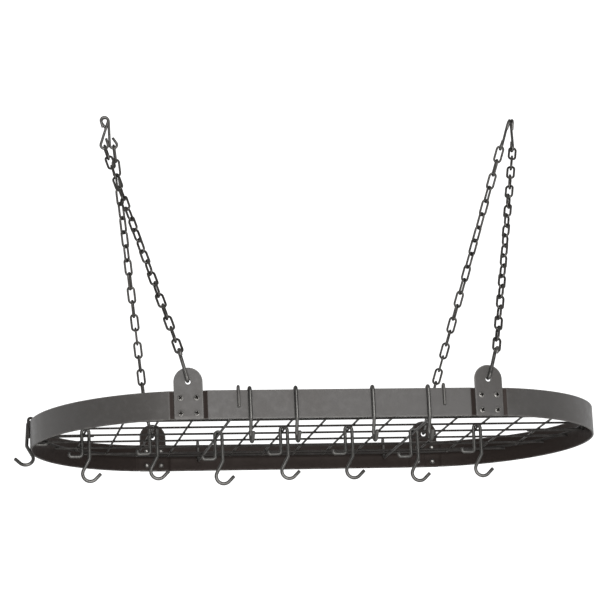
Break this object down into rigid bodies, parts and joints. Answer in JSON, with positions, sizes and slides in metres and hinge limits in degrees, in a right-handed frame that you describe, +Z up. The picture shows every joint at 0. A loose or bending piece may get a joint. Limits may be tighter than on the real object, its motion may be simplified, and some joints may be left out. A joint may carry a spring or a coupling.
{
  "type": "hanging pot rack",
  "caption": "Oval strap-metal pot rack with a welded wire grid, hanging on chains from ceiling hooks, with sliding pan hooks on the grid and over its rim.",
  "frame": {"origin": "midpoint between the two hanging points, at the inside top of the upper hooks' upper loops", "axes": "+Z up, +X along the ring's long way to the right seen from the front, +Y from the front side to the rear side"},
  "size_m": [0.9456, 0.5187, 0.6156],
  "materials": {
    "strap": "satin dark graphite powder coat",
    "wire": "satin dark graphite powder coat",
    "hook": "satin dark graphite powder coat",
    "chain": "satin dark graphite powder coat",
    "screw": "bright zinc plate",
    "nut": "dark oxide"
  },
  "bodies": {
    "hangers": {"upper_hook_front_left": "hook", "upper_hook_front_right": "hook", "upper_hook_rear_left": "hook", "upper_hook_rear_right": "hook"},
    "rack": {"band_front": "strap", "band_rear": "strap", "band_left": "strap", "band_right": "strap", "lug_front_left": "strap", "lug_front_right": "strap", "lug_rear_left": "strap", "lug_rear_right": "strap", "screws_front_left": "screw", "screws_front_right": "screw", "screws_rear_left": "screw", "screws_rear_right": "screw", "nuts_front_left": "nut", "nuts_front_right": "nut", "nuts_rear_left": "nut", "nuts_rear_right": "nut", "chain_front_left": "chain", "chain_front_right": "chain", "chain_rear_left": "chain", "chain_rear_right": "chain", "lower_hook_front_left": "hook", "lower_hook_front_right": "hook", "lower_hook_rear_left": "hook", "lower_hook_rear_right": "hook"},
    "grid": {"grid_edge_wire": "wire", "grid_cross_wires": "wire", "grid_long_wires": "wire", "support_rod_left": "wire", "support_rod_right": "wire", "end_hanger_left": "wire", "end_hanger_right": "wire"},
    "pot_hook_1": {"pot_hook_1": "hook"},
    "pot_hook_2": {"pot_hook_2": "hook"},
    "pot_hook_3": {"pot_hook_3": "hook"},
    "pot_hook_4": {"pot_hook_4": "hook"},
    "pot_hook_5": {"pot_hook_5": "hook"},
    "pot_hook_6": {"pot_hook_6": "hook"},
    "pot_hook_7": {"pot_hook_7": "hook"},
    "rim_hook_1": {"rim_hook_1": "hook"},
    "rim_hook_2": {"rim_hook_2": "hook"},
    "rim_hook_3": {"rim_hook_3": "hook"},
    "rim_hook_4": {"rim_hook_4": "hook"},
    "end_hook": {"end_hook": "hook"}
  },
  "joints": [
    {"name": "rack_swing", "type": "hinge", "parent": "hangers", "child": "rack", "pos_m": [0, 0, -0.0478], "axis": [1, 0, 0], "range_deg": [-8, 8]},
    {"name": "grid_lift", "type": "slide", "parent": "rack", "child": "grid", "axis": [0, 0, 1], "range_m": [0, 0.038]},
    {"name": "pot_hook_1_slide", "type": "slide", "parent": "grid", "child": "pot_hook_1", "axis": [0, 1, 0], "range_m": [-0.0438, 0.0065]},
    {"name": "pot_hook_2_slide", "type": "slide", "parent": "grid", "child": "pot_hook_2", "axis": [0, 1, 0], "range_m": [-0.0278, 0.0225]},
    {"name": "pot_hook_3_slide", "type": "slide", "parent": "grid", "child": "pot_hook_3", "axis": [0, 1, 0], "range_m": [-0.0448, 0.0055]},
    {"name": "pot_hook_4_slide", "type": "slide", "parent": "grid", "child": "pot_hook_4", "axis": [0, 1, 0], "range_m": [-0.0458, 0.0045]},
    {"name": "pot_hook_5_slide", "type": "slide", "parent": "grid", "child": "pot_hook_5", "axis": [0, 1, 0], "range_m": [-0.0498, 0.0005]},
    {"name": "pot_hook_6_slide", "type": "slide", "parent": "grid", "child": "pot_hook_6", "axis": [0, 1, 0], "range_m": [-0.0448, 0.0055]},
    {"name": "pot_hook_7_slide", "type": "slide", "parent": "grid", "child": "pot_hook_7", "axis": [0, 1, 0], "range_m": [-0.0498, 0.0005]},
    {"name": "rim_hook_1_slide", "type": "slide", "parent": "rack", "child": "rim_hook_1", "axis": [1, 0, 0], "range_m": [-0.012, 0.032]},
    {"name": "rim_hook_2_slide", "type": "slide", "parent": "rack", "child": "rim_hook_2", "axis": [1, 0, 0], "range_m": [-0.032, 0.057]},
    {"name": "rim_hook_3_slide", "type": "slide", "parent": "rack", "child": "rim_hook_3", "axis": [1, 0, 0], "range_m": [-0.057, 0.04]},
    {"name": "rim_hook_4_slide", "type": "slide", "parent": "rack", "child": "rim_hook_4", "axis": [1, 0, 0], "range_m": [-0.04, 0.0194]},
    {"name": "end_hook_slide", "type": "hinge", "parent": "rack", "child": "end_hook", "pos_m": [-0.2325, 0, -0.546], "axis": [0, 0, 1], "range_deg": [-60, 0]}
  ]
}
